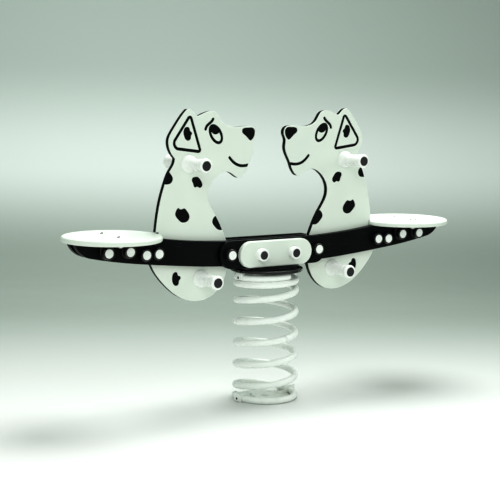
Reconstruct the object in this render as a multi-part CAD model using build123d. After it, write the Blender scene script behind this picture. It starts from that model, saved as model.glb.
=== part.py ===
from build123d import *
import math
import os

# Spring seesaw for two children: one coil spring, a pair of beams, two dog panels and two round seats.
#
# Millimetres.  The origin is the centre of the base on the ground.  X runs along the seesaw, -Y is the
# front, +Z is up.  The left half (-X) mirrors the right half.

os.makedirs("parts", exist_ok=True)

ENDS = (-1, 1)          # left end, right end
SIDES = (-1, 1)         # front side, rear side
GAP = 0.1               # radial gap between a fastener and its hole

# Coil spring: a round wire on a cylinder, right handed.  Angles are degrees along the wire.
WIRE_R = 10.0
COIL_R = 90.0
COIL_BOTTOM = WIRE_R
COIL_TOP = 384.0
ACTIVE_PITCH = 65.6
WIRE_START = 150.0
RISE_START = 297.0
RISE_END = 387.0
CLOSE_START = 2110.0
CLOSE_END = 2300.0
WIRE_END = 2805.0
PATH_STEP = 30.0

# Base plate and the clamps that hold the end coils.
BASE_R = 78.0
BASE_THICK = 6.0
BASE_ROUNDING = 1.5
BASE_SKIN = 1.0          # left under the blind threads of the clamp bolts
BASE_HOLE_R = 11.0
ANCHOR_PCD = 116.0
ANCHOR_HOLE_R = 5.5
ANCHOR_COUNT = 4
CLAMP_WIDTH = 28.0
CLAMP_TURN = 184.0
CLAMP_INNER_R = 66.0
CLAMP_OUTER_R = 106.0
CLAMP_WALL = 5.0
CLAMP_FOOT_R = 46.0
CLAMP_FOOT_THICK = 8.0
CLAMP_BOLT_R = 57.0
CLAMP_ROUNDING = 3.0
CLAMP_FLOOR_GAP = 1.0
GROOVE_GAP = 0.4
HOOK_DROP = 7.0
GRUB_R = 4.0
GRUB_SOCKET_R = 2.0
GRUB_SOCKET_DEPTH = 2.5

# Round top disc and the saddle bracket that stands on it.
DISC_R = 110.0
DISC_LOW = COIL_TOP + WIRE_R
DISC_THICK = 9.5
DISC_ROUNDING = 2.0
DISC_SKIN = 1.5          # left over the blind threads of the clamp bolts
DISC_TOP = DISC_LOW + DISC_THICK
SADDLE_HALF_LENGTH = 100.0
SADDLE_FOOT_HALF_WIDTH = 40.0
SADDLE_FOOT_THICK = 6.0
SADDLE_TOP = 486.0
SADDLE_FOOT_CORNER = 20.0
SADDLE_WEB_CORNER = 15.0
SADDLE_BOLT_X = 34.0
SADDLE_BOLT_Y = 21.0

# Layers across the seesaw, as distances from the middle plane.
PANEL_HALF = 9.5
SKIN_THICK = 2.0
SKIN_CHAMFER = 0.4
BEAM_THICK = 20.0
BEAM_ROUNDING = 2.0
BEAM_FACE = PANEL_HALF + BEAM_THICK
CENTRE_THICK = 12.0
CENTRE_FACE = BEAM_FACE + CENTRE_THICK
FACE_THICK = 15.0
FACE_OUTSIDE = CENTRE_FACE + FACE_THICK
BRACKET_THICK = 4.0
BRACKET_FACE = BEAM_FACE + BRACKET_THICK

# Plates at the middle.
CENTRE_LENGTH = 380.0
CENTRE_HEIGHT = 84.0
CENTRE_Z = 453.0
FACE_LENGTH = 256.0
FACE_HEIGHT = 79.0
FACE_Z = 451.5

# Seats.
SEAT_X = 523.0
SEAT_R = 143.0
SEAT_LOW = 511.5
SEAT_THICK = 15.0
SEAT_TOP = SEAT_LOW + SEAT_THICK
SEAT_TOP_ROUNDING = 6.5
SEAT_LOW_ROUNDING = 4.0
SEAT_BOLT_Y = 52.0
SEAT_SLOT_X = SEAT_X - SEAT_R - 2.0
SEAT_SLOT_Z = SEAT_TOP + 2.5
BRACKET_REACH = 72.0
BRACKET_CORNER = 12.0
BRACKET_LOW_X = 468.0
BRACKET_HIGH_X = 575.0
TAB_R = 20.0

# Through bolts: (x, z) at the right end; the left end mirrors them.
PEG_BOLT = (58.0, 450.5)
CHEST_BOLT = (156.0, 454.0)
BACK_BOLTS = [(394.0, 471.0), (434.0, 470.0)]
SEAT_TAB_BOLTS = [(488.0, 482.5), (555.0, 482.5)]
SLEEVE_R = 15.0

# Bolt caps: a round cup with a snap-in plug that hides the bolt head or the nut.
CAP_R = 18.0
CAP_HEIGHT = 15.0
CAP_FLOOR = 4.0
CAP_PLUG_R = 13.2
CAP_PLUG_THICK = 3.5
CAP_PLUG_STANDS = 0.6
CAP_RIM_SOFT = 2.5
PEG_R = 19.0
PEG_HEIGHT = 19.0
PEG_PLUG_R = 13.0

# Hand grips and foot grips.
HANDLE_AT = (279.0, 722.0)
FOOTREST_AT = (237.0, 385.0)
GRIP_LENGTH = 98.5
GRIP_FLANGE_R = 26.0
GRIP_WAIST_R = 17.5
GRIP_END_R = 21.0
GRIP_PLUG_R = 14.2
GRIP_PLUG_THICK = 5.0
GRIP_PLUG_STANDS = 0.5
GRIP_PLUG_SOFT = 1.2
GRIP_FLANGE_EDGE = 4.0
GRIP_POCKET = 18.0

# Face and spots of the right dog, routed through the white skins so that the core shows: (x, z) points.
# Lines are one cutter wide.
CUTTER = 9.0
STROKE_STEPS = 12
BROW = [(199, 850), (206.5, 841), (217.5, 832.5), (224, 821)]
MOUTH = [(141.5, 737), (133, 728), (120, 718.3), (105, 712.9), (91, 712), (77, 713.8)]
EAR_CORNERS = [(275.6, 862.1), (341.2, 769.2), (240.2, 756.2)]
EAR_CORNER_R = [5.2, 16.7, 5.2]
EYE_AT = (189.0, 806.2)
EYE_LEAN = 33.5
EYE_HALF_WIDTH = 20.7
EYE_HALF_LENGTH = 32.5
PUPIL_AT = (190.0, 823.5)
PUPIL_R = 18.0
NOSE_SPOT = [(99, 813.5), (97, 820), (91, 823), (76, 824), (62, 823.5), (55, 817.5), (53.5, 808), (57, 796.5),
             (63, 789), (68.5, 785.8), (74, 788.5), (87.5, 801), (97.5, 809)]
EAR_SPOT = [(286.5, 828.3), (278, 824), (275, 816.3), (269.8, 812), (269.8, 807), (272.8, 802), (273.3, 794.5),
            (278, 790), (284, 788.8), (290.5, 792), (296, 802), (298.3, 812), (295.5, 823)]
NECK_SPOT = [(257, 684.2), (246, 681.8), (237.3, 671.5), (233, 660), (239, 652), (245.5, 652.5), (250.5, 655.3),
             (256.5, 653.2), (262, 656), (265, 665), (269.3, 674), (266, 682)]
NAPE_SPOT = [(344, 702), (338.5, 694), (332.8, 685), (333.2, 675), (339, 667.5), (347, 665.3), (359, 666),
             (370, 678), (360, 698)]
BACK_SPOT = [(310.4, 594.5), (302, 592), (293.3, 594), (285, 587.3), (276, 572), (277.6, 561.5), (288.7, 553.4),
             (303, 554.2), (314.5, 563), (323.5, 576), (321.4, 587.5)]
CHEST_SPOT = [(187, 568), (196, 561), (199, 549.5), (191.5, 537), (180, 527), (167, 524.5), (152, 530),
              (160, 552), (172, 568)]
BELLY_SPOT = [(322, 410.3), (315.3, 407), (312, 399.5), (305, 396), (303.9, 390.5), (309, 384.5), (310.6, 375),
              (319, 369.7), (328.3, 374.8), (332.8, 387), (331.3, 402.5)]
SPOTS = [NOSE_SPOT, EAR_SPOT, NECK_SPOT, NAPE_SPOT, BACK_SPOT, CHEST_SPOT, BELLY_SPOT]

# Metric fasteners: shank radius, width across flats, head height, nut height.
M8 = (4.0, 13.0, 5.3, 6.8)
M10 = (5.0, 16.0, 6.4, 8.0)
M12 = (6.0, 18.0, 7.5, 10.0)
THIN_NUT = 7.0
BUTTON_R = 7.0
BUTTON_HEIGHT = 4.4
BUTTON_ROUNDING = 2.0
BUTTON_SOCKET = 5.0
BUTTON_SOCKET_DEPTH = 2.5
MUSHROOM_R = 10.5
MUSHROOM_HEIGHT = 5.0


def save(node, solids):
    """Write one node; a list with several solids becomes a group."""
    group = [s for item in solids for s in item.solids()]
    shape = group[0] if len(group) == 1 else Compound(children=group)
    shape.label = node
    export_step(shape, f"parts/{node}.step")


def rod_y(x, z, radius, y0, y1):
    """Round rod along Y between y0 and y1."""
    return Pos(x, (y0 + y1) / 2, z) * Rot(90, 0, 0) * Cylinder(radius, abs(y1 - y0))


def rod_z(x, y, radius, z0, z1):
    """Round rod along Z between z0 and z1."""
    return Pos(x, y, (z0 + z1) / 2) * Cylinder(radius, abs(z1 - z0))


def hexagon_y(x, z, across_flats, y0, y1):
    """Hexagonal prism along Y."""
    prism = extrude(RegularPolygon(across_flats / 2, 6, major_radius=False), abs(y1 - y0) / 2, both=True)
    return Pos(x, (y0 + y1) / 2, z) * Rot(90, 0, 0) * prism


def hexagon_z(x, y, across_flats, z0, z1):
    """Hexagonal prism along Z."""
    prism = extrude(RegularPolygon(across_flats / 2, 6, major_radius=False), abs(z1 - z0) / 2, both=True)
    return Pos(x, y, (z0 + z1) / 2) * prism


def slab(profile, y_middle, thickness):
    """Flat plate in the XZ plane: the profile's second coordinate is the height."""
    return Pos(0, y_middle, 0) * extrude(Plane.XZ * profile, thickness / 2, both=True)


def outer_edges(plate, side):
    """Edges of the face that looks away from the middle plane."""
    return plate.faces().sort_by(Axis.Y)[-1 if side > 0 else 0].edges()


def turned_y(profile, x, z, y_base, side):
    """Turn a profile of (radius, distance) points about an axis along Y, starting at y_base."""
    body = revolve(make_face(Polyline(*profile, close=True)), Axis.Y)
    flip = Rot(0, 0, 180) if side < 0 else Rot(0, 0, 0)
    return Pos(x, side * y_base, z) * flip * body


# ---------------------------------------------------------------- coil spring and its clamps

ACTIVE_SLOPE = ACTIVE_PITCH / 360.0
CLOSE_HEIGHT = COIL_BOTTOM + ACTIVE_SLOPE * (CLOSE_START - (RISE_START + RISE_END) / 2)
CLOSE_SPAN = CLOSE_END - CLOSE_START
LAST_RISE = COIL_TOP - CLOSE_HEIGHT - ACTIVE_SLOPE * CLOSE_SPAN / 2
END_SLOPE = LAST_RISE / (CLOSE_SPAN / 2 + WIRE_END - CLOSE_END)


def wire_height(angle):
    """Height of the wire's centre line: a flat end, active turns, then nearly closed turns."""
    if angle <= RISE_START:
        return COIL_BOTTOM
    if angle <= RISE_END:
        return COIL_BOTTOM + ACTIVE_SLOPE * (angle - RISE_START) ** 2 / (2 * (RISE_END - RISE_START))
    if angle <= CLOSE_START:
        return COIL_BOTTOM + ACTIVE_SLOPE * (angle - (RISE_START + RISE_END) / 2)
    if angle <= CLOSE_END:
        done = angle - CLOSE_START
        fade = (END_SLOPE - ACTIVE_SLOPE) * done ** 2 / (2 * CLOSE_SPAN)
        return CLOSE_HEIGHT + ACTIVE_SLOPE * done + fade
    return COIL_TOP - END_SLOPE * (WIRE_END - angle)


def wire_point(angle):
    """Point on the wire's centre line."""
    turn = math.radians(angle)
    return (COIL_R * math.cos(turn), COIL_R * math.sin(turn), wire_height(angle))


def wire_between(start, end, radius):
    """The wire, or a thicker copy of it for cutting grooves, between two angles."""
    count = max(4, round((end - start) / PATH_STEP))
    path = Spline(*[wire_point(start + (end - start) * i / count) for i in range(count + 1)])
    section = Plane(path @ 0, z_dir=path % 0) * Circle(radius)
    return sweep(section, path=path, is_frenet=True)


def coil_clamp(wire, plate_z, up):
    """Saddle block over the wire at one angle, with a foot that lies on the plate.

    up is 1 for a clamp that stands on a plate below it and -1 for one that hangs from a plate above.
    A hanging clamp ends just past the wire's middle, so that the next turn passes below it.
    """
    wire_z = wire_height(wire)
    far_z = wire_z + WIRE_R + CLAMP_WALL if up > 0 else wire_z - HOOK_DROP
    near_z = CLAMP_FLOOR_GAP if up > 0 else plate_z
    block_length = CLAMP_OUTER_R - CLAMP_INNER_R
    block_middle = (CLAMP_OUTER_R + CLAMP_INNER_R) / 2
    block = Pos(block_middle, 0, (near_z + far_z) / 2) * Box(block_length, CLAMP_WIDTH, abs(far_z - near_z))
    block = fillet(block.edges().filter_by(Axis.Y).group_by(Axis.X)[-1], CLAMP_ROUNDING)
    foot_length = CLAMP_INNER_R - CLAMP_FOOT_R + 2
    foot_z = plate_z + up * CLAMP_FOOT_THICK / 2
    foot = Pos(CLAMP_FOOT_R + foot_length / 2, 0, foot_z) * Box(foot_length, CLAMP_WIDTH, CLAMP_FOOT_THICK)
    clamp = Rot(0, 0, wire) * (block + foot)
    if up > 0:
        clamp -= rod_z(0, 0, BASE_R + GAP, 0, BASE_THICK)
    clamp -= wire_between(wire - 16, wire + 16, WIRE_R + GROOVE_GAP)
    bolt_x, bolt_y = clamp_bolt_place(wire)
    clamp -= rod_z(bolt_x, bolt_y, M8[0] + GAP, plate_z - 20, plate_z + 20)
    return clamp - grub_screw(wire, GRUB_R + GAP, 10)


def clamp_bolt_place(wire):
    turn = math.radians(wire)
    return CLAMP_BOLT_R * math.cos(turn), CLAMP_BOLT_R * math.sin(turn)


def grub_screw(wire, radius, extra=0.0):
    """Set screw that presses on the outside of the wire, pointing at the coil's axis."""
    start = COIL_R + WIRE_R if extra == 0 else COIL_R
    length = CLAMP_OUTER_R - start + extra
    screw = Pos(start + length / 2, 0, 0) * Rot(0, 90, 0) * Cylinder(radius, length)
    if extra == 0:
        socket = extrude(RegularPolygon(GRUB_SOCKET_R, 6), GRUB_SOCKET_DEPTH)
        screw -= Pos(CLAMP_OUTER_R - GRUB_SOCKET_DEPTH, 0, 0) * Rot(0, 90, 0) * socket
    return Pos(0, 0, wire_height(wire)) * Rot(0, 0, wire) * screw


def clamp_bolt(wire, head_z, tip_z):
    """Hexagon bolt through a clamp foot, head at head_z, shank ending at tip_z."""
    x, y = clamp_bolt_place(wire)
    away = 1 if head_z > tip_z else -1
    head = hexagon_z(x, y, M8[1], head_z, head_z + away * M8[2])
    return head + rod_z(x, y, M8[0], tip_z, head_z)


def base_plate():
    """Round plate inside the lowest coil, with a centre hole and four anchor holes."""
    plate = rod_z(0, 0, BASE_R, 0, BASE_THICK)
    plate = fillet(plate.edges().group_by(Axis.Z)[-1], BASE_ROUNDING)
    plate -= rod_z(0, 0, BASE_HOLE_R, -1, BASE_THICK + 1)
    for i in range(ANCHOR_COUNT):
        turn = math.radians(45 + 360 * i / ANCHOR_COUNT)
        x = ANCHOR_PCD / 2 * math.cos(turn)
        y = ANCHOR_PCD / 2 * math.sin(turn)
        plate -= rod_z(x, y, ANCHOR_HOLE_R, -1, BASE_THICK + 1)
    for wire in LOWER_CLAMPS:
        plate -= rod_z(*clamp_bolt_place(wire), M8[0] + GAP, BASE_SKIN, BASE_THICK + 1)
    return plate


# Each clamp: the wire angle it holds.  Whole turns apart from CLAMP_TURN, or half a turn more.
LOWER_CLAMPS = [CLAMP_TURN, CLAMP_TURN + 180]
UPPER_CLAMPS = [CLAMP_TURN + 7 * 360, CLAMP_TURN + 6.5 * 360]


def build_spring_group():
    save("base_plate", [base_plate()])
    save("coil_spring", [wire_between(WIRE_START, WIRE_END, WIRE_R)])
    save("lower_coil_clamps", [coil_clamp(w, BASE_THICK, 1) for w in LOWER_CLAMPS])
    save("upper_coil_clamps", [coil_clamp(w, DISC_LOW, -1) for w in UPPER_CLAMPS])
    lower_head = BASE_THICK + CLAMP_FOOT_THICK
    upper_head = DISC_LOW - CLAMP_FOOT_THICK
    save("lower_clamp_bolts", [clamp_bolt(w, lower_head, BASE_SKIN) for w in LOWER_CLAMPS])
    save("upper_clamp_bolts", [clamp_bolt(w, upper_head, DISC_TOP - DISC_SKIN) for w in UPPER_CLAMPS])
    save("lower_clamp_screws", [grub_screw(w, GRUB_R) for w in LOWER_CLAMPS])
    save("upper_clamp_screws", [grub_screw(w, GRUB_R) for w in UPPER_CLAMPS])


# ---------------------------------------------------------------- top disc and saddle

def saddle_points():
    return [(x * SADDLE_BOLT_X, y * SADDLE_BOLT_Y) for x in ENDS for y in SIDES]


def top_disc():
    """Round plate on top of the spring."""
    disc = rod_z(0, 0, DISC_R, DISC_LOW, DISC_TOP)
    disc = fillet(disc.edges(), DISC_ROUNDING)
    for x, y in saddle_points():
        disc -= rod_z(x, y, M8[0] + GAP, DISC_LOW - 1, DISC_TOP + 1)
    for wire in UPPER_CLAMPS:
        disc -= rod_z(*clamp_bolt_place(wire), M8[0] + GAP, DISC_LOW - 1, DISC_TOP - DISC_SKIN)
    return disc


def saddle_bracket():
    """Welded bracket: a foot on the disc and an upright web between the beams."""
    foot_z = DISC_TOP + SADDLE_FOOT_THICK / 2
    foot = Box(2 * SADDLE_HALF_LENGTH, 2 * SADDLE_FOOT_HALF_WIDTH, SADDLE_FOOT_THICK)
    foot = fillet(foot.edges().filter_by(Axis.Z), SADDLE_FOOT_CORNER)
    web_height = SADDLE_TOP - DISC_TOP
    web = Box(2 * SADDLE_HALF_LENGTH, 2 * PANEL_HALF, web_height)
    web = fillet(web.edges().filter_by(Axis.Y).group_by(Axis.Z)[-1], SADDLE_WEB_CORNER)
    bracket = Pos(0, 0, foot_z) * foot + Pos(0, 0, DISC_TOP + web_height / 2) * web
    for end in ENDS:
        bracket -= rod_y(end * PEG_BOLT[0], PEG_BOLT[1], M12[0] + GAP, -20, 20)
    for x, y in saddle_points():
        bracket -= rod_z(x, y, M8[0] + GAP, DISC_TOP - 1, DISC_TOP + 20)
    return bracket


def saddle_bolt(x, y):
    """Low-headed bolt through the saddle foot and the disc."""
    top = DISC_TOP + SADDLE_FOOT_THICK
    head = rod_z(x, y, BUTTON_R, top, top + BUTTON_HEIGHT)
    head = fillet(head.edges().group_by(Axis.Z)[-1], BUTTON_ROUNDING)
    head -= hexagon_z(x, y, BUTTON_SOCKET, top + BUTTON_HEIGHT - BUTTON_SOCKET_DEPTH, top + BUTTON_HEIGHT + 1)
    return head + rod_z(x, y, M8[0], DISC_LOW - M8[3] - 2, top)


def saddle_nut(x, y):
    nut = hexagon_z(x, y, M8[1], DISC_LOW - M8[3], DISC_LOW)
    return nut - rod_z(x, y, M8[0] + GAP, DISC_LOW - 20, DISC_LOW + 1)


def build_saddle_group():
    save("top_disc", [top_disc()])
    save("saddle_bracket", [saddle_bracket()])
    save("saddle_bolts", [saddle_bolt(x, y) for x, y in saddle_points()])
    save("saddle_nuts", [saddle_nut(x, y) for x, y in saddle_points()])


# ---------------------------------------------------------------- beams and centre plates

def beam_profile():
    """Smile-shaped board from tip to tip, flat on top where the seats rest."""
    lower = [(0, 417), (170, 419), (378, 436), (483, 448), (608, 470)]
    upper = [(372, SEAT_LOW), (262, 499), (140, 492.5), (0, 491)]
    tip = [(608, 470), (639, 491), (650, SEAT_LOW)]
    left_lower = [(-x, z) for x, z in reversed(lower[1:])]
    left_upper = [(-x, z) for x, z in reversed(upper[:-1])]
    edges = [
        Spline(*left_lower, *lower),
        Spline(*tip),
        Line(tip[-1], upper[0]),
        Spline(*upper, *left_upper),
        Line((-upper[0][0], SEAT_LOW), (-tip[-1][0], SEAT_LOW)),
        Spline(*[(-x, z) for x, z in reversed(tip)]),
    ]
    return make_face(edges)


def beam(side):
    board = slab(beam_profile(), side * (PANEL_HALF + BEAM_THICK / 2), BEAM_THICK)
    board = fillet(outer_edges(board, side), BEAM_ROUNDING)
    for x, z in [CHEST_BOLT] + BACK_BOLTS + SEAT_TAB_BOLTS:
        board = board - bolt_holes(x, z, M10[0] + GAP)
    return board - bolt_holes(*PEG_BOLT, M12[0] + GAP)


def bolt_holes(x, z, radius):
    """Both mirrored holes for a through bolt."""
    return [rod_y(end * x, z, radius, -80, 80) for end in ENDS]


def obround_plate(length, height, z_middle, inner, thickness, side, rounding):
    """Plate with round ends; its outer face has rounded edges."""
    plate = slab(Pos(0, z_middle) * SlotOverall(length, height), side * (inner + thickness / 2), thickness)
    return fillet(outer_edges(plate, side), rounding)


def centre_plate(side):
    plate = obround_plate(CENTRE_LENGTH, CENTRE_HEIGHT, CENTRE_Z, BEAM_FACE, CENTRE_THICK, side, 2)
    plate = plate - bolt_holes(*CHEST_BOLT, M10[0] + GAP)
    return plate - bolt_holes(*PEG_BOLT, M12[0] + GAP)


def face_plate(side):
    plate = obround_plate(FACE_LENGTH, FACE_HEIGHT, FACE_Z, CENTRE_FACE, FACE_THICK, side, 4)
    return plate - bolt_holes(*PEG_BOLT, M12[0] + GAP)


# ---------------------------------------------------------------- caps, bolts and nuts

def cap_cup(x, z, face, side, radius, height, plug_radius, hole):
    """Round cup with a floor for the bolt head and a recess for the plug."""
    soft = CAP_RIM_SOFT
    mouth = plug_radius + GAP
    profile = [(hole, 0), (radius, 0), (radius, height - soft), (radius - soft * 0.3, height - soft * 0.3),
               (radius - soft, height), (mouth, height), (mouth, CAP_FLOOR), (hole, CAP_FLOOR)]
    return turned_y(profile, x, z, face, side)


def cap_plug(x, z, face, side, height, radius):
    """Plug that fills the mouth of a cup, with a broken edge."""
    low = height - CAP_PLUG_THICK
    top = height + CAP_PLUG_STANDS
    profile = [(0, low), (radius, low), (radius, top - 1), (radius - 1, top), (0, top)]
    return turned_y(profile, x, z, face, side)


def through_bolt(x, z, face, size):
    """Bolt across the whole seesaw: head at the front, thread end at the rear."""
    head_at = face + CAP_FLOOR
    head = hexagon_y(x, z, size[1], -head_at, -head_at - size[2])
    return head + rod_y(x, z, size[0], -head_at, head_at + THIN_NUT)


def through_nut(x, z, face, size):
    """Thin nut on the thread end, inside the rear cup."""
    start = face + CAP_FLOOR
    nut = hexagon_y(x, z, size[1], start, start + THIN_NUT)
    return nut - rod_y(x, z, size[0] + GAP, start - 1, start + THIN_NUT + 1)


def beam_bolt_places():
    """Every capped bolt on the beams: x, z and the face that its cap stands on."""
    right = [(*CHEST_BOLT, CENTRE_FACE)]
    right += [(x, z, BEAM_FACE) for x, z in BACK_BOLTS]
    right += [(x, z, BRACKET_FACE) for x, z in SEAT_TAB_BOLTS]
    return [(end * x, z, face) for end in ENDS for x, z, face in right]


def build_beam_group():
    for name, side in (("front", -1), ("rear", 1)):
        save(f"{name}_beam", [beam(side)])
        save(f"{name}_centre_plate", [centre_plate(side)])
        save(f"{name}_face_plate", [face_plate(side)])
    places = beam_bolt_places()
    pegs = [(end * PEG_BOLT[0], PEG_BOLT[1], FACE_OUTSIDE) for end in ENDS]
    hole = M10[0] + GAP
    peg_hole = M12[0] + GAP
    beam_cups = [cap_cup(*p, s, CAP_R, CAP_HEIGHT, CAP_PLUG_R, hole) for p in places for s in SIDES]
    save("beam_cap_cups", beam_cups)
    save("beam_cap_plugs", [cap_plug(*p, s, CAP_HEIGHT, CAP_PLUG_R) for p in places for s in SIDES])
    save("beam_bolts", [through_bolt(*p, M10) for p in places])
    save("beam_nuts", [through_nut(*p, M10) for p in places])
    peg_cups = [cap_cup(*p, s, PEG_R, PEG_HEIGHT, PEG_PLUG_R, peg_hole) for p in pegs for s in SIDES]
    save("centre_cap_cups", peg_cups)
    save("centre_cap_plugs", [cap_plug(*p, s, PEG_HEIGHT, PEG_PLUG_R) for p in pegs for s in SIDES])
    save("centre_bolts", [through_bolt(*p, M12) for p in pegs])
    save("centre_nuts", [through_nut(*p, M12) for p in pegs])
    tips = [(end * x, z) for end in ENDS for x, z in SEAT_TAB_BOLTS]
    sleeves = [rod_y(x, z, SLEEVE_R, -PANEL_HALF, PANEL_HALF) - rod_y(x, z, hole, -20, 20) for x, z in tips]
    save("seat_end_sleeves", sleeves)


# ---------------------------------------------------------------- dog panels

def mirrored(points, end):
    """Points of the right dog, turned to the left one when end is -1."""
    return [(end * x, z) for x, z in points]


def dog_profile(end):
    """Outline of the sitting dog that looks at the middle of the seesaw."""
    ear_back = [(286, 878.5), (303, 860.5), (320.5, 837), (333.5, 818.5), (346.5, 792), (343, 765),
                (325, 738.5)]
    neck_back = [(325, 738.5), (331, 718.5), (341, 704), (361, 657), (370, 628), (381, 575), (387, SEAT_SLOT_Z)]
    seat_slot = [(387, SEAT_SLOT_Z), (SEAT_SLOT_X, SEAT_SLOT_Z), (SEAT_SLOT_X, 505)]
    tail_top = [(SEAT_SLOT_X, 505), (444, 498)]
    tail_end = [(444, 498), (459, 474), (444, 450)]
    tail_low = [(444, 450), (403, 440)]
    front = [(403, 440), (394, 420.5), (365.5, 383), (333.5, 353), (298.5, 331), (253, 320), (203.5, 329),
             (172, 354), (155.5, 380.5), (144, 425), (144.5, 470), (156.5, 508), (188, 569.5), (214, 618.5),
             (214, 639), (194, 676), (164.5, 695), (140.5, 694), (104.5, 676.5), (83.5, 696), (74.5, 718),
             (60.5, 745.5), (55.5, 766.5), (57, 787.5), (50, 805.5), (56.5, 823.5), (75, 828.5), (103.5, 827),
             (142, 828), (167, 841), (189, 869.5), (206, 873), (230, 867), (251, 859)]
    ear_front = [(251, 859), (264, 870), (276.5, 878.5), (286, 878.5)]
    edges = [Spline(*mirrored(ear_back, end)), Spline(*mirrored(neck_back, end))]
    edges += [Polyline(*mirrored(seat_slot, end)), Line(*mirrored(tail_top, end))]
    edges += [ThreePointArc(*mirrored(tail_end, end)), Line(*mirrored(tail_low, end))]
    edges += [Spline(*mirrored(front, end)), Spline(*mirrored(ear_front, end))]
    return make_face(edges)


def spot(end, points):
    """Closed smooth outline through a few points."""
    return make_face(Spline(*mirrored(points, end), periodic=True))


def stroke(end, points):
    """Round-ended groove, one cutter wide, along a smooth curve."""
    line = Spline(*mirrored(points, end))
    centre = [line @ (i / STROKE_STEPS) for i in range(STROKE_STEPS + 1)]
    normals = [(line % (i / STROKE_STEPS)).rotate(Axis.Z, 90) * (CUTTER / 2) for i in range(STROKE_STEPS + 1)]
    left = [c + n for c, n in zip(centre, normals)]
    right = [c - n for c, n in zip(centre, normals)]
    far_end = Line(left[-1], right[-1])
    near_end = Line(right[0], left[0])
    body = make_face([Spline(*left), far_end, Spline(*reversed(right)), near_end])
    for tip in (centre[0], centre[-1]):
        body += Pos(tip.X, tip.Y) * Circle(CUTTER / 2)
    return body


def ear_groove(end):
    """Triangle with rounded corners drawn inside the ear."""
    ring = make_face(Polyline(*mirrored(EAR_CORNERS, end), close=True))
    for corner, radius in zip(EAR_CORNERS, EAR_CORNER_R):
        at = Vector(end * corner[0], corner[1])
        near = sorted(ring.vertices(), key=lambda v: (Vector(v) - at).length)[0]
        ring = fillet(near, radius)
    return offset(ring, CUTTER / 2) - offset(ring, -CUTTER / 2)


def eye_groove(end):
    """Leaning oval ring with the pupil filling its top."""
    place = Pos(end * EYE_AT[0], EYE_AT[1]) * Rot(0, 0, -end * EYE_LEAN)
    outer = place * Ellipse(EYE_HALF_WIDTH, EYE_HALF_LENGTH)
    inner = place * Ellipse(EYE_HALF_WIDTH - CUTTER, EYE_HALF_LENGTH - CUTTER)
    within = place * Ellipse(EYE_HALF_WIDTH - CUTTER / 2, EYE_HALF_LENGTH - CUTTER / 2)
    pupil = (Pos(end * PUPIL_AT[0], PUPIL_AT[1]) * Circle(PUPIL_R)) & within
    return outer - inner + pupil


def dog_grooves(end):
    """Everything routed through the white skin, so that the black core shows."""
    return [ear_groove(end), eye_groove(end), stroke(end, BROW), stroke(end, MOUTH)] + [
        spot(end, outline) for outline in SPOTS]


def dog_holes(end):
    """Holes for the beam bolts and the two grip rods."""
    holes = [rod_y(end * x, z, M10[0] + GAP, -20, 20) for x, z in [CHEST_BOLT] + BACK_BOLTS]
    holes += [rod_y(end * x, z, M12[0] + GAP, -20, 20) for x, z in (HANDLE_AT, FOOTREST_AT)]
    return holes


def routed_skin(profile, end):
    """White front skin with the face and the spots cut through.

    The edges of its face are broken, apart from the grooves that run off the edge of the panel.
    """
    skin = slab(profile, -(PANEL_HALF - SKIN_THICK / 2), SKIN_THICK)
    skin = chamfer(outer_edges(skin, -1), SKIN_CHAMFER)
    for groove in dog_grooves(end):
        skin -= slab(groove, -PANEL_HALF, 2 * SKIN_THICK)
    faces = [f for f in skin.faces() if abs(f.center().Y + PANEL_HALF) < SKIN_CHAMFER / 4]
    faces.sort(key=lambda f: f.area)
    broken = [edge for island in faces[:-1] for edge in island.edges()]
    broken += [edge for wire in faces[-1].inner_wires() for edge in wire.edges()]
    return chamfer(broken, SKIN_CHAMFER)


def build_dogs():
    for name, end in (("left", -1), ("right", 1)):
        profile = dog_profile(end)
        holes = dog_holes(end)
        core = slab(profile, 0, 2 * (PANEL_HALF - SKIN_THICK))
        save(f"{name}_dog_core", [core - holes])
        front_skin = routed_skin(profile, end)
        rear_skin = mirror(front_skin, Plane.XZ)
        save(f"{name}_dog_front_skin", [front_skin - holes])
        save(f"{name}_dog_rear_skin", [rear_skin - holes])


# ---------------------------------------------------------------- grips

def grip(x, z, side):
    """Turned grip: flange on the panel, slim waist, thicker rounded end with a pocket for the nut."""
    length = GRIP_LENGTH
    flange = GRIP_FLANGE_R
    waist = GRIP_WAIST_R
    knob = GRIP_END_R
    pocket = length - GRIP_POCKET
    rod = M12[0] + GAP
    shape = [
        Line((rod, 0), (flange, 0)),
        Line((flange, 0), (flange, GRIP_FLANGE_EDGE)),
        Spline((flange, GRIP_FLANGE_EDGE), (flange - 2.5, 8), (waist + 3, 13), (waist, 26), (waist, 60),
               (waist + 1.5, 78), (knob - 0.5, 90), (knob, length - 6), (knob - 1.6, length - 1.6),
               (knob - 4.5, length)),
        Line((knob - 4.5, length), (GRIP_PLUG_R + GAP, length)),
        Line((GRIP_PLUG_R + GAP, length), (GRIP_PLUG_R + GAP, pocket)),
        Line((GRIP_PLUG_R + GAP, pocket), (rod, pocket)),
        Line((rod, pocket), (rod, 0)),
    ]
    body = revolve(make_face(shape), Axis.Y)
    flip = Rot(0, 0, 180) if side < 0 else Rot(0, 0, 0)
    return Pos(x, side * PANEL_HALF, z) * flip * body


def grip_plug(x, z, side):
    """Plug in the mouth of a grip, with a broken edge."""
    low = GRIP_LENGTH - GRIP_PLUG_THICK
    top = GRIP_LENGTH + GRIP_PLUG_STANDS
    edge = GRIP_PLUG_R
    soft = GRIP_PLUG_SOFT
    profile = [(0, low), (edge, low), (edge, top - soft), (edge - soft, top), (0, top)]
    return turned_y(profile, x, z, PANEL_HALF, side)


def grip_rod(x, z):
    """Threaded rod that ties the front and rear grips together through the panel."""
    reach = PANEL_HALF + GRIP_LENGTH - GRIP_POCKET + M12[3] + 1.5
    return rod_y(x, z, M12[0], -reach, reach)


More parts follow.
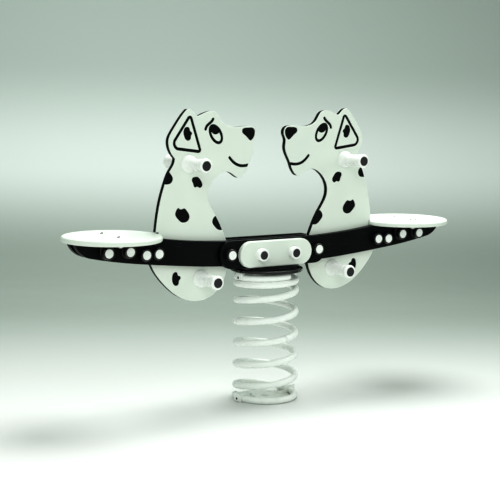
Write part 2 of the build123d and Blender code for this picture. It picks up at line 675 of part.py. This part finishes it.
def grip_nut(x, z, side):
    start = PANEL_HALF + GRIP_LENGTH - GRIP_POCKET
    nut = hexagon_y(x, z, M12[1], side * start, side * (start + M12[3]))
    return nut - rod_y(x, z, M12[0] + GAP, side * (start - 5), side * (start + 15))


def build_grips():
    every_place = []
    for name, end in (("left", -1), ("right", 1)):
        for kind, (x, z) in (("handle_grips", HANDLE_AT), ("foot_grips", FOOTREST_AT)):
            every_place.append((end * x, z))
            save(f"{name}_{kind}", [grip(end * x, z, side) for side in SIDES])
    save("grip_rods", [grip_rod(*place) for place in every_place])
    save("grip_nuts", [grip_nut(*place, side) for place in every_place for side in SIDES])
    save("grip_plugs", [grip_plug(*place, side) for place in every_place for side in SIDES])


# ---------------------------------------------------------------- seats

def seat(end):
    """Round seat board with soft edges and two bolt holes."""
    board = rod_z(end * SEAT_X, 0, SEAT_R, SEAT_LOW, SEAT_TOP)
    board = fillet(board.edges().group_by(Axis.Z)[-1], SEAT_TOP_ROUNDING)
    board = fillet(board.edges().group_by(Axis.Z)[0], SEAT_LOW_ROUNDING)
    for side in SIDES:
        board -= rod_z(end * SEAT_X, side * SEAT_BOLT_Y, M10[0] + GAP, SEAT_LOW - 1, SEAT_TOP + 1)
    return board


def seat_bracket(end, side):
    """Bent steel bracket: a leg under the seat and two round tabs on the beam."""
    leg_length = BRACKET_HIGH_X - BRACKET_LOW_X
    leg_x = end * (BRACKET_HIGH_X + BRACKET_LOW_X) / 2
    leg_width = BRACKET_REACH - BEAM_FACE
    leg = Box(leg_length, leg_width, BRACKET_THICK)
    bracket = Pos(leg_x, side * (BEAM_FACE + leg_width / 2), SEAT_LOW - BRACKET_THICK / 2) * leg
    far_corners = bracket.edges().filter_by(Axis.Z).group_by(Axis.Y)[-1 if side > 0 else 0]
    bracket = fillet(far_corners, BRACKET_CORNER)
    middle = BEAM_FACE + BRACKET_THICK / 2
    for x, z in SEAT_TAB_BOLTS:
        drop = SEAT_LOW - z
        tab = Pos(end * x, side * middle, z + drop / 2) * Box(2 * TAB_R, BRACKET_THICK, drop)
        bracket += tab + rod_y(end * x, z, TAB_R, side * BEAM_FACE, side * BRACKET_FACE)
        bracket -= rod_y(end * x, z, M10[0] + GAP, -80, 80)
    return bracket - rod_z(end * SEAT_X, side * SEAT_BOLT_Y, M10[0] + GAP, SEAT_LOW - 20, SEAT_LOW + 5)


def seat_bolt(end, side):
    """Mushroom-headed bolt down through the seat and its bracket."""
    head = turned_dome(MUSHROOM_R, MUSHROOM_HEIGHT)
    x = end * SEAT_X
    y = side * SEAT_BOLT_Y
    return Pos(x, y, SEAT_TOP) * head + rod_z(x, y, M10[0], SEAT_LOW - BRACKET_THICK - M10[3] - 2, SEAT_TOP)


def turned_dome(radius, height):
    """Shallow dome standing on its flat side."""
    sphere_r = (radius ** 2 + height ** 2) / (2 * height)
    ball = Pos(0, 0, height - sphere_r) * Sphere(sphere_r)
    return ball & Pos(0, 0, height / 2) * Cylinder(radius + 1, height)


def seat_nut(end, side):
    x = end * SEAT_X
    y = side * SEAT_BOLT_Y
    top = SEAT_LOW - BRACKET_THICK
    return hexagon_z(x, y, M10[1], top - M10[3], top) - rod_z(x, y, M10[0] + GAP, top - 20, top + 1)


def build_seats():
    for name, end in (("left", -1), ("right", 1)):
        save(f"{name}_seat", [seat(end)])
        save(f"{name}_seat_brackets", [seat_bracket(end, side) for side in SIDES])
    save("seat_bolts", [seat_bolt(end, side) for end in ENDS for side in SIDES])
    save("seat_nuts", [seat_nut(end, side) for end in ENDS for side in SIDES])


build_spring_group()
build_saddle_group()
build_beam_group()
build_dogs()
build_grips()
build_seats()
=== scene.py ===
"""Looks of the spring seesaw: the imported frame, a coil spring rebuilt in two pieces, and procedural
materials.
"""
import math

import bpy
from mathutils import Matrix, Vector


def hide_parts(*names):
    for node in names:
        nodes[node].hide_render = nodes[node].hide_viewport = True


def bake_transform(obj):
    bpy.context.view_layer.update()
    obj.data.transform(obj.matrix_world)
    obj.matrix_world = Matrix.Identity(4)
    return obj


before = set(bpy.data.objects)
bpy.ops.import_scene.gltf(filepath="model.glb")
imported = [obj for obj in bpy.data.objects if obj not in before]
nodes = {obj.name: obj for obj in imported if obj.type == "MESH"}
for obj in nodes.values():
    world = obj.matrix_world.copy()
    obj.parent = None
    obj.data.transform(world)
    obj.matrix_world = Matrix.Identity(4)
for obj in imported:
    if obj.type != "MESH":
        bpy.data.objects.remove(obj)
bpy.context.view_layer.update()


# ---------------------------------------------------------------- camera

CAMERA_AZIMUTH = math.radians(32.98)
CAMERA_ELEVATION = math.radians(7.47)
CAMERA_ROLL = math.radians(0.76)
CAMERA_DISTANCE = 4.109
CAMERA_LENS = 98.8
CAMERA_AIM = Vector((-0.060, 0.0, 0.458))


def link(thing):
    bpy.context.scene.collection.objects.link(thing)
    return thing


def make_camera():
    """Long lens at the front left, a little above the seats."""
    view = Vector((math.sin(CAMERA_AZIMUTH) * math.cos(CAMERA_ELEVATION),
                   math.cos(CAMERA_AZIMUTH) * math.cos(CAMERA_ELEVATION),
                   -math.sin(CAMERA_ELEVATION)))
    data = bpy.data.cameras.new("camera")
    data.lens = CAMERA_LENS
    data.clip_end = 60
    camera = link(bpy.data.objects.new("camera", data))
    camera.location = CAMERA_AIM - CAMERA_DISTANCE * view
    camera.rotation_euler = view.to_track_quat("-Z", "Y").to_euler()
    camera.rotation_euler.rotate_axis("Z", CAMERA_ROLL)
    bpy.context.scene.camera = camera


# ---------------------------------------------------------------- node helpers

class Graph:
    """One material and short ways to add nodes to it."""

    def __init__(self, name):
        self.material = bpy.data.materials.new(name)
        self.material.use_nodes = True
        self.tree = self.material.node_tree
        self.shader = self.tree.nodes["Principled BSDF"]
        self.place = self.tree.nodes.new("ShaderNodeTexCoord").outputs["Object"]

    def put(self, socket, value):
        """Connect an output to an input, or set the input's value."""
        if isinstance(value, bpy.types.NodeSocket):
            self.tree.links.new(value, socket)
        else:
            socket.default_value = value

    def noise(self, scale, detail=2.0, roughness=0.5, stretch=(1, 1, 1)):
        """Noise from 0 to 1; scale is in features per metre."""
        mapping = self.tree.nodes.new("ShaderNodeMapping")
        mapping.inputs["Scale"].default_value = stretch
        self.put(mapping.inputs["Vector"], self.place)
        cell = self.tree.nodes.new("ShaderNodeTexNoise")
        self.put(cell.inputs["Vector"], mapping.outputs["Vector"])
        cell.inputs["Scale"].default_value = scale
        cell.inputs["Detail"].default_value = detail
        cell.inputs["Roughness"].default_value = roughness
        return cell.outputs["Fac"]

    def cells(self, scale):
        """Voronoi cells with one random grey each."""
        cell = self.tree.nodes.new("ShaderNodeTexVoronoi")
        self.put(cell.inputs["Vector"], self.place)
        cell.inputs["Scale"].default_value = scale
        split = self.tree.nodes.new("ShaderNodeSeparateColor")
        self.put(split.inputs["Color"], cell.outputs["Color"])
        return split.outputs["Red"]

    def span(self, value, low, high, start=0.0, end=1.0):
        """Map value from low..high to start..end, clamped."""
        change = self.tree.nodes.new("ShaderNodeMapRange")
        self.put(change.inputs["Value"], value)
        change.inputs["From Min"].default_value = low
        change.inputs["From Max"].default_value = high
        change.inputs["To Min"].default_value = start
        change.inputs["To Max"].default_value = end
        return change.outputs["Result"]

    def smooth(self, value, low, high):
        """Map value from low..high to 0..1 with soft ends."""
        change = self.tree.nodes.new("ShaderNodeMapRange")
        change.interpolation_type = "SMOOTHSTEP"
        self.put(change.inputs["Value"], value)
        change.inputs["From Min"].default_value = low
        change.inputs["From Max"].default_value = high
        return change.outputs["Result"]

    def maths(self, operation, first, second):
        step = self.tree.nodes.new("ShaderNodeMath")
        step.operation = operation
        self.put(step.inputs[0], first)
        self.put(step.inputs[1], second)
        return step.outputs["Value"]

    def blend(self, amount, first, second):
        """Mix two colours."""
        mix = self.tree.nodes.new("ShaderNodeMix")
        mix.data_type = "RGBA"
        self.put(mix.inputs["Factor"], amount)
        self.put(mix.inputs[6], first)
        self.put(mix.inputs[7], second)
        return mix.outputs[2]

    def height(self):
        """Height above the ground in metres."""
        split = self.tree.nodes.new("ShaderNodeSeparateXYZ")
        self.put(split.inputs["Vector"], self.place)
        return split.outputs["Z"]

    def edges(self, radius, low=0.02, high=0.22):
        """1 on convex edges and in sharp corners, 0 on flat faces."""
        bevel = self.tree.nodes.new("ShaderNodeBevel")
        bevel.samples = 6
        bevel.inputs["Radius"].default_value = radius
        geometry = self.tree.nodes.new("ShaderNodeNewGeometry")
        dot = self.tree.nodes.new("ShaderNodeVectorMath")
        dot.operation = "DOT_PRODUCT"
        self.put(dot.inputs[0], bevel.outputs["Normal"])
        self.put(dot.inputs[1], geometry.outputs["Normal"])
        turned = self.maths("SUBTRACT", 1.0, dot.outputs["Value"])
        return self.span(turned, low, high)

    def soft_normal(self, radius, *layers):
        """Rounded edges, then bump layers of (height, depth in metres)."""
        bevel = self.tree.nodes.new("ShaderNodeBevel")
        bevel.samples = 6
        bevel.inputs["Radius"].default_value = radius
        normal = bevel.outputs["Normal"]
        for height, depth in layers:
            bump = self.tree.nodes.new("ShaderNodeBump")
            bump.inputs["Strength"].default_value = 1.0
            bump.inputs["Distance"].default_value = depth
            self.put(bump.inputs["Height"], height)
            self.put(bump.inputs["Normal"], normal)
            normal = bump.outputs["Normal"]
        self.put(self.shader.inputs["Normal"], normal)

    def finish(self, colour, roughness, metallic=0.0, specular=0.5):
        self.put(self.shader.inputs["Base Color"], colour)
        self.put(self.shader.inputs["Roughness"], roughness)
        self.shader.inputs["Metallic"].default_value = metallic
        self.shader.inputs["Specular IOR Level"].default_value = specular
        return self.material


# ---------------------------------------------------------------- materials

WHITE = (0.72, 0.79, 0.72, 1)
WHITE_WARM = (0.75, 0.81, 0.735, 1)
WHITE_SCUFF = (0.60, 0.66, 0.60, 1)
DUST = (0.52, 0.53, 0.46, 1)
BLACK = (0.0025, 0.003, 0.0035, 1)
BLACK_FADED = (0.006, 0.007, 0.0075, 1)
# Pale blue-grey for scuffs and scratches on black; on the board edges it also paints a highlight where glints
# would be.
BLACK_WEAR_AND_GLINT = (0.12, 0.155, 0.165, 1)


def white_board():
    """White playground board: pebbled face, faint clouding, scuffed rims."""
    g = Graph("white_board")
    cloud = g.noise(6, 3)
    speck = g.noise(160, 2, 0.7)
    colour = g.blend(g.span(cloud, 0.35, 0.65), WHITE, WHITE_WARM)
    colour = g.blend(g.span(speck, 0.70, 0.80, 0, 0.25), colour, WHITE_SCUFF)
    edge_tint = g.maths("MULTIPLY", g.edges(0.0012), g.span(g.noise(90, 4, 0.7), 0.45, 0.70, 0, 0.6))
    colour = g.blend(edge_tint, colour, WHITE_SCUFF)
    scratch = g.span(g.noise(22, 5, 0.7, (1, 1, 14)), 0.62, 0.70)
    roughness = g.span(g.noise(30, 3), 0.3, 0.7, 0.30, 0.44)
    roughness = g.maths("ADD", roughness, g.maths("MULTIPLY", scratch, 0.12))
    g.soft_normal(0.0006, (g.noise(700, 2), 0.00016), (g.noise(35, 2), 0.0003), (scratch, 0.00004))
    return g.finish(colour, roughness)


def black_board():
    """Black playground board: satin, with pale scuffs and a painted blue-grey edge highlight along the edges.
    """
    g = Graph("black_board")
    colour = g.blend(g.span(g.noise(7, 3), 0.3, 0.7), BLACK, BLACK_FADED)
    # Painted highlight: blue-grey along the edges stands in for edge glints as well as scuffs.
    edge_tint = g.maths("MULTIPLY", g.edges(0.0014), g.span(g.noise(70, 5, 0.75), 0.48, 0.68, 0, 0.8))
    colour = g.blend(edge_tint, colour, BLACK_WEAR_AND_GLINT)
    scratch = g.span(g.noise(18, 5, 0.7, (1, 1, 16)), 0.63, 0.69)
    colour = g.blend(g.maths("MULTIPLY", scratch, 0.12), colour, BLACK_WEAR_AND_GLINT)
    roughness = g.span(g.noise(25, 3), 0.3, 0.7, 0.36, 0.50)
    roughness = g.maths("ADD", roughness, g.maths("MULTIPLY", edge_tint, 0.2))
    g.soft_normal(0.0008, (g.noise(650, 2), 0.00012), (g.noise(30, 2), 0.0003), (scratch, 0.00004))
    return g.finish(colour, roughness, specular=0.12)


def coated_steel(name, base, second, chip, rough_low, rough_high, peel=0.00035):
    """Powder-coated steel: orange peel, chips on the edges, dust near the ground."""
    g = Graph(name)
    colour = g.blend(g.span(g.noise(9, 3), 0.35, 0.65), base, second)
    chips = g.maths("MULTIPLY", g.edges(0.0016), g.span(g.noise(120, 4, 0.8), 0.56, 0.62))
    colour = g.blend(chips, colour, chip)
    splash = g.maths("MULTIPLY", g.span(g.height(), 0.0, 0.10, 1, 0), g.span(g.noise(45, 5, 0.7), 0.40, 0.70))
    colour = g.blend(g.maths("MULTIPLY", splash, 0.30), colour, DUST)
    roughness = g.span(g.noise(40, 3), 0.3, 0.7, rough_low, rough_high)
    roughness = g.maths("ADD", roughness, g.maths("MULTIPLY", splash, 0.3))
    g.soft_normal(0.0008, (g.noise(330, 2, 0.4), peel), (g.noise(1400, 1), 0.00005))
    return g.finish(colour, roughness)


def white_coat():
    base = (0.86, 0.91, 0.87, 1)
    second = (0.89, 0.92, 0.88, 1)
    chip = (0.30, 0.27, 0.24, 1)
    return coated_steel("white_coat", base, second, chip, 0.24, 0.36)


def black_coat():
    """Smooth glossy coat: almost no orange peel."""
    base = (0.005, 0.006, 0.006, 1)
    second = (0.009, 0.010, 0.010, 1)
    chip = (0.22, 0.20, 0.18, 1)
    return coated_steel("black_coat", base, second, chip, 0.05, 0.12, 0.00006)


def zinc_steel():
    """Zinc-plated fastener: brushed grey metal with a few dull patches."""
    g = Graph("zinc")
    colour = g.blend(g.span(g.noise(140, 4), 0.35, 0.65), (0.60, 0.61, 0.60, 1), (0.72, 0.72, 0.68, 1))
    colour = g.blend(g.span(g.noise(60, 5, 0.7), 0.60, 0.75, 0, 0.5), colour, (0.38, 0.35, 0.30, 1))
    roughness = g.span(g.noise(500, 3, 0.6, (1, 8, 1)), 0.3, 0.7, 0.24, 0.46)
    g.soft_normal(0.0004, (g.noise(900, 2, 0.6, (1, 6, 1)), 0.00005))
    return g.finish(colour, roughness, metallic=1.0)


def bracket_steel():
    """Dark painted bracket, brown along its edges: worn paint and a painted edge highlight."""
    g = Graph("bracket")
    colour = g.blend(g.cells(220), (0.018, 0.019, 0.019, 1), (0.034, 0.034, 0.032, 1))
    # Brown on the edges is partly worn paint and partly a painted highlight where the edges catch light.
    edge_wear_and_highlight = g.maths("MULTIPLY", g.edges(0.0018), g.span(g.noise(90, 4, 0.7), 0.40, 0.60))
    colour = g.blend(edge_wear_and_highlight, colour, (0.20, 0.15, 0.09, 1))
    roughness = g.span(g.noise(60, 3), 0.3, 0.7, 0.34, 0.55)
    g.soft_normal(0.0006, (g.noise(420, 2), 0.00022), (g.noise(1500, 1), 0.00004))
    return g.finish(colour, roughness)


def moulded_plastic(name, base, second, scuff, rough_low, rough_high):
    """Injection-moulded plastic: very fine grain and rubbed rims."""
    g = Graph(name)
    colour = g.blend(g.span(g.noise(14, 3), 0.35, 0.65), base, second)
    rubbed = g.maths("MULTIPLY", g.edges(0.0010), g.span(g.noise(110, 4, 0.7), 0.45, 0.70, 0, 0.5))
    colour = g.blend(rubbed, colour, scuff)
    roughness = g.span(g.noise(55, 4, 0.6), 0.3, 0.7, rough_low, rough_high)
    g.soft_normal(0.0005, (g.noise(1500, 2), 0.00007))
    return g.finish(colour, roughness)


def white_plastic():
    base = (0.88, 0.91, 0.88, 1)
    second = (0.91, 0.93, 0.90, 1)
    return moulded_plastic("white_plastic", base, second, WHITE_SCUFF, 0.20, 0.34)


def black_plastic():
    base = (0.009, 0.009, 0.010, 1)
    second = (0.016, 0.016, 0.017, 1)
    return moulded_plastic("black_plastic", base, second, BLACK_WEAR_AND_GLINT, 0.24, 0.40)


MATERIALS = {
    "white_panel": white_board(),
    "black_panel": black_board(),
    "white_paint": white_coat(),
    "black_paint": black_coat(),
    "zinc_steel": zinc_steel(),
    "bracket_steel": bracket_steel(),
    "white_plastic": white_plastic(),
    "black_plastic": black_plastic(),
}


def dress_nodes():
    """Give every CAD node the material of its slot."""
    for node in nodes.values():
        for place in node.material_slots:
            place.material = MATERIALS[place.material.name.split(".")[0]]


# ---------------------------------------------------------------- coil spring

WIRE_R = 0.010
COIL_R = 0.090
COIL_BOTTOM = WIRE_R
COIL_TOP = 0.384
ACTIVE_PITCH = 0.0656
WIRE_START = 150.0
RISE_START = 297.0
RISE_END = 387.0
CLOSE_START = 2110.0
CLOSE_END = 2300.0
WIRE_END = 2805.0
PIVOT_HEIGHT = 0.195
WIRE_RIM = 0.0015
DEGREES_PER_RING = 5.0
RING_POINTS = 28

ACTIVE_SLOPE = ACTIVE_PITCH / 360.0
CLOSE_HEIGHT = COIL_BOTTOM + ACTIVE_SLOPE * (CLOSE_START - (RISE_START + RISE_END) / 2)
CLOSE_SPAN = CLOSE_END - CLOSE_START
LAST_RISE = COIL_TOP - CLOSE_HEIGHT - ACTIVE_SLOPE * CLOSE_SPAN / 2
END_SLOPE = LAST_RISE / (CLOSE_SPAN / 2 + WIRE_END - CLOSE_END)


def wire_height(angle):
    """Height of the wire's centre line: a flat end, active turns, then nearly closed turns."""
    if angle <= RISE_START:
        return COIL_BOTTOM
    if angle <= RISE_END:
        return COIL_BOTTOM + ACTIVE_SLOPE * (angle - RISE_START) ** 2 / (2 * (RISE_END - RISE_START))
    if angle <= CLOSE_START:
        return COIL_BOTTOM + ACTIVE_SLOPE * (angle - (RISE_START + RISE_END) / 2)
    if angle <= CLOSE_END:
        done = angle - CLOSE_START
        fade = (END_SLOPE - ACTIVE_SLOPE) * done ** 2 / (2 * CLOSE_SPAN)
        return CLOSE_HEIGHT + ACTIVE_SLOPE * done + fade
    return COIL_TOP - END_SLOPE * (WIRE_END - angle)


def wire_point(angle):
    turn = math.radians(angle)
    return Vector((COIL_R * math.cos(turn), COIL_R * math.sin(turn), wire_height(angle)))


def wire_ring(angle, radius, back=0.0):
    """Ring of points round the wire at one angle, moved back along the wire by a small length."""
    centre = wire_point(angle)
    along = (wire_point(angle + 0.5) - wire_point(angle - 0.5)).normalized()
    outward = Vector((centre.x, centre.y, 0)).normalized()
    across = along.cross(outward).normalized()
    outward = across.cross(along).normalized()
    ring = []
    for i in range(RING_POINTS):
        turn = 2 * math.pi * i / RING_POINTS
        ring.append(centre - back * along + radius * (math.cos(turn) * outward + math.sin(turn) * across))
    return ring


def spring_piece(name, start, end, rounded_start, rounded_end):
    """Solid round wire from one angle to another; a rounded end has a ground-off rim."""
    rings = []
    if rounded_start:
        rings.append(wire_ring(start, WIRE_R - WIRE_RIM))
        rings.append(wire_ring(start, WIRE_R, -WIRE_RIM))
    else:
        rings.append(wire_ring(start, WIRE_R))
    count = round((end - start) / DEGREES_PER_RING)
    rings += [wire_ring(start + (end - start) * i / count, WIRE_R) for i in range(1, count)]
    if rounded_end:
        rings.append(wire_ring(end, WIRE_R, WIRE_RIM))
        rings.append(wire_ring(end, WIRE_R - WIRE_RIM))
    else:
        rings.append(wire_ring(end, WIRE_R))
    points = [p for ring in rings for p in ring]
    faces = []
    for row in range(len(rings) - 1):
        for i in range(RING_POINTS):
            j = (i + 1) % RING_POINTS
            low = row * RING_POINTS
            faces.append((low + i, low + j, low + RING_POINTS + j, low + RING_POINTS + i))
    faces.append(tuple(reversed(range(RING_POINTS))))
    last = (len(rings) - 1) * RING_POINTS
    faces.append(tuple(last + i for i in range(RING_POINTS)))
    mesh = bpy.data.meshes.new(name)
    mesh.from_pydata(points, [], faces)
    for face in mesh.polygons:
        face.use_smooth = len(face.vertices) == 4
    mesh.materials.append(MATERIALS["white_paint"])
    mesh.update()
    return link(bpy.data.objects.new(name, mesh))


def split_angle():
    """Wire angle at which the wire passes the height of the pivot."""
    return (RISE_START + RISE_END) / 2 + (PIVOT_HEIGHT - COIL_BOTTOM) / ACTIVE_SLOPE


def make_spring():
    """Coil wire in two pieces split at the pivot height, one from the base and one up to the seesaw; the CAD
    coil is hidden.
    """
    middle = split_angle()
    lower = spring_piece("coil_lower", WIRE_START, middle, True, False)
    upper = spring_piece("coil_upper", middle, WIRE_END, False, True)
    for piece in (lower, upper):
        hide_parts("coil_spring")
    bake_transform(lower)
    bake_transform(upper)


# ---------------------------------------------------------------- floor and light

# Sweep behind the seesaw: where it starts to rise, its bend, its width and its tones from the ground up; the
# tones paint in shade and light.
# The floor runs as far towards the front as the sweep is wide to one side.
SWEEP_START = 2.2
SWEEP_BEND = 2.5
SWEEP_TOP = 7.0
SWEEP_HALF_WIDTH = 40.0
SWEEP_STEPS = 24
FLOOR_TONE = (0.92, 0.93, 0.92, 1)
PAINTED_HORIZON_SHADE = (0.25, 0.29, 0.26, 1)
MIDDLE_TONE = (0.58, 0.63, 0.605, 1)
PAINTED_TOP_SHADE = (0.40, 0.455, 0.425, 1)


def make_floor():
    """Pale sweep: flat under the seesaw, curving up far behind it, with painted shade and light in its
    colour.
    """
    profile = [(-SWEEP_HALF_WIDTH, 0.0), (SWEEP_START, 0.0)]
    for i in range(1, SWEEP_STEPS + 1):
        turn = math.radians(90 * i / SWEEP_STEPS)
        profile.append((SWEEP_START + SWEEP_BEND * math.sin(turn), SWEEP_BEND * (1 - math.cos(turn))))
    profile.append((SWEEP_START + SWEEP_BEND, SWEEP_TOP))
    points = [(side * SWEEP_HALF_WIDTH, y, z) for y, z in profile for side in (-1, 1)]
    faces = [(2 * i, 2 * i + 1, 2 * i + 3, 2 * i + 2) for i in range(len(profile) - 1)]
    mesh = bpy.data.meshes.new("floor")
    mesh.from_pydata(points, [], faces)
    for face in mesh.polygons:
        face.use_smooth = True
    g = Graph("floor")
    split = g.tree.nodes.new("ShaderNodeSeparateXYZ")
    g.put(split.inputs["Vector"], g.place)
    depth = split.outputs["Y"]
    height = split.outputs["Z"]
    # Painted shade and light: the floor darkens away from the camera to a dark band at the foot of the sweep,
    # and the sweep is painted lighter partway up and darker again at the top.
    colour = g.blend(g.smooth(depth, -1.2, 1.6), FLOOR_TONE, PAINTED_HORIZON_SHADE)
    colour = g.blend(g.smooth(height, 0.04, 0.46), colour, MIDDLE_TONE)
    colour = g.blend(g.smooth(height, 0.50, 1.05), colour, PAINTED_TOP_SHADE)
    roughness = g.span(g.noise(3, 2), 0.3, 0.7, 0.6, 0.7)
    mesh.materials.append(g.finish(colour, roughness, specular=0.15))
    floor = link(bpy.data.objects.new("floor", mesh))
    floor.rotation_euler = (0, 0, -CAMERA_AZIMUTH)


def soft_light(name, place, aim, size, power, colour):
    data = bpy.data.lights.new(name, "AREA")
    data.shape = "DISK"
    data.size = size
    data.energy = power
    data.color = colour
    lamp = link(bpy.data.objects.new(name, data))
    lamp.location = place
    lamp.rotation_euler = (Vector(aim) - Vector(place)).to_track_quat("-Z", "Y").to_euler()


def make_light():
    """Large soft light overhead and behind, weak fills at the front, and one for the sweep."""
    soft_light("top", (0.75, 0.40, 2.7), (0, 0, 0.3), 1.7, 62, (1.0, 1.0, 0.99))
    soft_light("front_fill", (-2.0, -2.7, 2.6), (0, 0, 0.45), 2.2, 27, (0.97, 1.0, 0.975))
    soft_light("right_fill", (2.6, -2.6, 1.6), (0, 0, 0.5), 1.6, 8, (0.95, 1.0, 0.97))
    soft_light("backdrop", (0.2, 1.8, 2.6), (1.4, 4.2, 0.8), 2.0, 40, (0.98, 1.0, 0.985))
    world = bpy.data.worlds.new("world")
    world.use_nodes = True
    sky = world.node_tree.nodes["Background"]
    sky.inputs["Color"].default_value = (0.82, 0.88, 0.83, 1)
    sky.inputs["Strength"].default_value = 0.46
    bpy.context.scene.world = world
    bpy.context.scene.view_settings.view_transform = "Standard"
    bpy.context.scene.view_settings.look = "High Contrast"


dress_nodes()
make_spring()
make_floor()
make_light()
make_camera()
